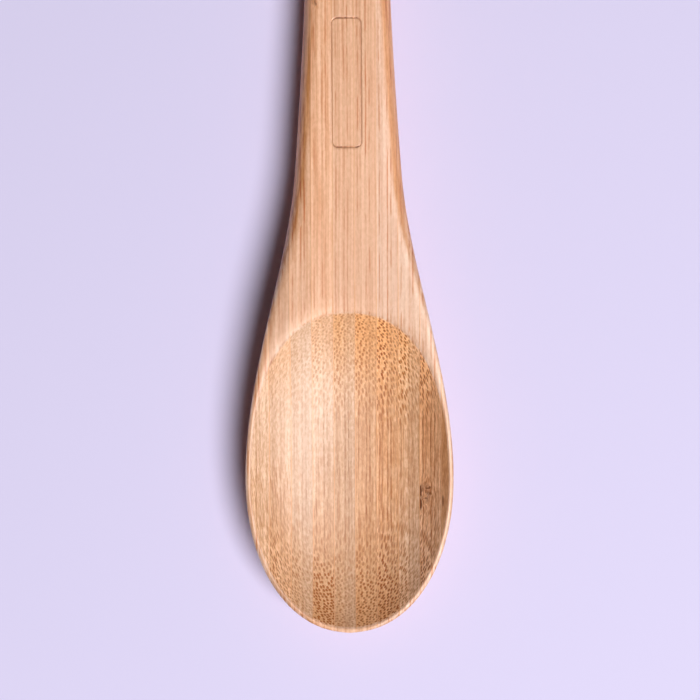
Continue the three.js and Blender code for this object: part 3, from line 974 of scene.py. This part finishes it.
def bambooMaterial(name, slot, left, right, number):
    grain, tones, look = bambooGrain, bambooTones[slot], stripLooks[number - 1]
    material, tree, shader = newMaterial(name)
    shader.inputs["Specular IOR Level"].default_value = grain["specular"]
    fields = stripFields(tree, left, right)
    fibrePlace, markShades = fibresAndMarks(tree, fields, number)
    fibreAxes = axesOf(tree, fibrePlace)
    across = calc(tree, "SUBTRACT", fibreAxes[0], left + grain["firstColumn"])
    upright = times(tree, fibreAxes[2], spanTo(tree, fields["fromTip"], *grain["layerSpan"]))
    upright = calc(tree, "ADD", upright, number * grain["layerStep"])
    noises = {"drift": stripNoise(tree, fields["place"], "drift", number)[0]}
    for label in ("thread", "dash", "stroke", "speck", "curl", "streak"):
        noises[label] = stripNoise(tree, fibrePlace, label, number)[0]

    base = woodTone(tree, fields, noises, tones, look)
    darkThread, paleThread = threadShades(tree, fields, noises, across, look)
    base = linedTone(tree, base, fields, noises, darkThread, paleThread)
    base, dotShade = dottedTone(tree, base, fields, across, upright, tones, look)
    for markShade in markShades:
        base = blendColour(tree, markShade, base, jointLook["colour"])
    scorch = addNode(tree, "ShaderNodeAttribute", {}, attribute_name="scorch").outputs["Fac"]
    scorch = times(tree, scorch, spanTo(tree, noises["thread"], *grain["scorchSpan"]))
    base = blendColour(tree, scorch, base, grain["scorch"])
    tree.links.new(base, shader.inputs["Base Color"])

    # dots and marks are duller than the wood round them, and pores and threads lie a little lower
    rough = calc(tree, "MULTIPLY_ADD", dotShade, grain["dotDullness"], grain["roughness"])
    dullness = grain["streakDullness"]
    rough = calc(tree, "ADD", rough, calc(tree, "MULTIPLY_ADD", noises["streak"], dullness, -dullness / 2))
    for markShade in markShades:
        rough = calc(tree, "MULTIPLY_ADD", markShade, jointLook["dullness"], rough)
    tree.links.new(rough, shader.inputs["Roughness"])
    height = calc(tree, "SUBTRACT", times(tree, darkThread, -grain["threadDepth"]), dotShade)
    relief = {"Strength": grain["poreStrength"], "Distance": grain["poreDepth"], "Height": height}
    tree.links.new(addNode(tree, "ShaderNodeBump", relief).outputs[0], shader.inputs["Normal"])
    return material


glueLook = {
    "colour": colour(233, 178, 134),
    "dark": colour(212, 148, 92),
    "patchStretch": (900, 60, 900),
    "patchStart": (0, 0, 0),
    "patchDetail": 3.0,
    "patchSpan": (0.4, 0.7),
    "roughness": 0.5,
    "sink": 0.012,  # millimetres
}


def glueMaterial():
    look = glueLook
    material, tree, shader = newMaterial("cured glue")
    shader.inputs["Roughness"].default_value = look["roughness"]
    spot = addNode(tree, "ShaderNodeTexCoord", {}).outputs["Object"]
    patch = grainNoise(tree, spot, look["patchStretch"], look["patchStart"], look["patchDetail"])[0]
    patch = spanTo(tree, patch, *look["patchSpan"], 0.0, 1.0)
    base = blendColour(tree, patch, look["colour"], look["dark"])
    tree.links.new(base, shader.inputs["Base Color"])
    return material


def addPiece(name, mesh, material, node):
    piece = bpy.data.objects.new(name, mesh)
    bpy.context.scene.collection.objects.link(piece)
    mesh.materials.append(material)
    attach(piece, "root")
    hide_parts(node)


slotOf = {part["node"]: part["material_slot"] for part in frame["record"]["subparts"]}


def slabSides(node):
    low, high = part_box(node)
    return low.x / mm, high.x / mm


# Where the outline lets a slab between two upright planes start and end.
def slabEnds(left, right):
    nearest = 0.0 if left < 0 < right else min(abs(left), abs(right))
    along = np.arange(0, spoonLength, meshDetail["endStep"])
    inside = along[outlineHalf(along) > nearest]
    return inside[0], inside[-1]


for number in range(1, len(stripLooks) + 1):
    node = f"bamboo_strip_{number:02d}"
    left, right = slabSides(node)
    rows = meshRows(*slabEnds(left, right), meshDetail["stripRowScale"])
    topShares = withGroove(meshColumns(left, right, meshDetail["topColumns"]), left, right)
    backShares = meshColumns(left, right, meshDetail["backColumns"])
    mesh = slabMesh(f"carved strip {number}", left, right, rows, topShares, backShares)
    material = bambooMaterial(f"bamboo {number}", slotOf[node], left, right, number)
    addPiece(f"carved_strip_{number:02d}", mesh, material, node)
    print(node, len(mesh.polygons), "faces")

cured = glueMaterial()
for node in sorted(name for name in frame["nodes"] if name.startswith("glue_line")):
    left, right = slabSides(node)
    rows = meshRows(*slabEnds(left, right), meshDetail["filmRowScale"])
    shares = np.linspace(0, 1, meshDetail["filmColumns"] + 1)
    mesh = slabMesh(node.replace("_", " "), left, right, rows, shares, shares, glueLook["sink"])
    addPiece(node.replace("line", "film"), mesh, cured, node)
print("glue films laid")


# The floor, and the light all round. Sizes are in metres.
stageLook = {
    "floor": colour(226, 218, 249),
    "floorReach": 3.0,
    "floorSink": 0.00005,
    "floorRoughness": 1.0,
    "floorSpecular": 0.0,
    "fadeSpan": (0.17, 0.29),
    "backdrop": 1.0,
    "ambient": 0.03,
    "ambientColour": colour(255, 255, 255),
}

# The key lamp lights the spoon, and a wide softbox gives it its sheen. Watts, metres and degrees.
keyLamp = {"power": 66.0, "size": 1.32, "distance": 2.4, "elevation": 60.0, "turn": -51.0, "shines": False}
sheenLamp = {"power": 36.0, "size": 1.4, "distance": 1.2, "elevation": 55.0, "turn": -28.0, "shines": True}
lampAim = (0.0, -0.07, 0.01)


# Rays that show the backdrop: the camera's own, and those in reflections and in glass.
def seenRay(tree):
    path = addNode(tree, "ShaderNodeLightPath", {}).outputs
    shown = calc(tree, "MAXIMUM", path["Is Camera Ray"], path["Is Transmission Ray"])
    return calc(tree, "MAXIMUM", shown, path["Is Glossy Ray"])


# The floor takes the spoon's shadow, and away from it shows its plain colour up to the horizon.
def addFloor():
    mesh = bpy.data.meshes.new("floor")
    reach, depth = stageLook["floorReach"], -stageLook["floorSink"]
    corners = [(x * reach, y * reach, depth) for x, y in ((-1, -1), (1, -1), (1, 1), (-1, 1))]
    mesh.from_pydata(corners, [], [(0, 1, 2, 3)])
    floor = bpy.data.objects.new("floor", mesh)
    bpy.context.scene.collection.objects.link(floor)
    material, tree, shader = newMaterial("pale card floor")
    shader.inputs["Base Color"].default_value = stageLook["floor"]
    shader.inputs["Roughness"].default_value = stageLook["floorRoughness"]
    shader.inputs["Specular IOR Level"].default_value = stageLook["floorSpecular"]
    spot = addNode(tree, "ShaderNodeTexCoord", {}).outputs["Object"]
    away = addNode(tree, "ShaderNodeVectorMath", {0: spot}, operation="LENGTH").outputs["Value"]
    far = times(tree, spanTo(tree, away, *stageLook["fadeSpan"], 0.0, 1.0), seenRay(tree))
    shown = {"Color": stageLook["floor"], "Strength": stageLook["backdrop"]}
    plain = addNode(tree, "ShaderNodeEmission", shown)
    mixed = addNode(tree, "ShaderNodeMixShader", {0: far, 1: shader.outputs[0], 2: plain.outputs[0]})
    tree.links.new(mixed.outputs[0], tree.nodes["Material Output"].inputs[0])
    mesh.materials.append(material)


def addLamp(name, look):
    turn, rise = math.radians(look["turn"]), math.radians(look["elevation"])
    back = Vector((math.cos(turn) * math.cos(rise), math.sin(turn) * math.cos(rise), math.sin(rise)))
    lamp = bpy.data.lights.new(name, "AREA")
    lamp.shape = "DISK"
    lamp.size = look["size"]
    lamp.energy = look["power"]
    holder = bpy.data.objects.new(name, lamp)
    bpy.context.scene.collection.objects.link(holder)
    holder.location = Vector(lampAim) + back * look["distance"]
    holder.rotation_euler = back.to_track_quat("Z", "Y").to_euler()
    holder.visible_glossy = look["shines"]
    holder.visible_diffuse = not look["shines"]


# Soft light all round, and the floor's colour where the camera or a reflection sees past the floor.
def addWorld():
    world = bpy.data.worlds.new("studio")
    bpy.context.scene.world = world
    world.use_nodes = True
    tree = world.node_tree
    tree.nodes.clear()
    soft = {"Color": stageLook["ambientColour"], "Strength": stageLook["ambient"]}
    shown = {"Color": stageLook["floor"], "Strength": stageLook["backdrop"]}
    light = addNode(tree, "ShaderNodeBackground", soft).outputs[0]
    seen = addNode(tree, "ShaderNodeBackground", shown).outputs[0]
    mixed = addNode(tree, "ShaderNodeMixShader", {0: seenRay(tree), 1: light, 2: seen})
    addNode(tree, "ShaderNodeOutputWorld", {0: mixed.outputs[0]})


# Straight above the spoon: place from the tip, lens and sensor in millimetres, roll in degrees.
cameraLook = {"across": 0.29, "along": 81.0, "height": 617.0, "lens": 108.0, "sensor": 36.0, "roll": -0.25}


def addCamera():
    look = cameraLook
    data = bpy.data.cameras.new("overhead camera")
    data.lens = look["lens"]
    data.sensor_width = look["sensor"]
    camera = bpy.data.objects.new("overhead camera", data)
    bpy.context.scene.collection.objects.link(camera)
    camera.location = Vector((look["across"], look["along"] + tipPlace, look["height"])) * mm
    camera.rotation_euler = (0, 0, math.radians(look["roll"]))
    bpy.context.scene.camera = camera


addFloor()
addLamp("key lamp", keyLamp)
addLamp("sheen softbox", sheenLamp)
addWorld()
addCamera()
bpy.context.scene.view_settings.view_transform = "Standard"
print("floor, lamps and camera set")
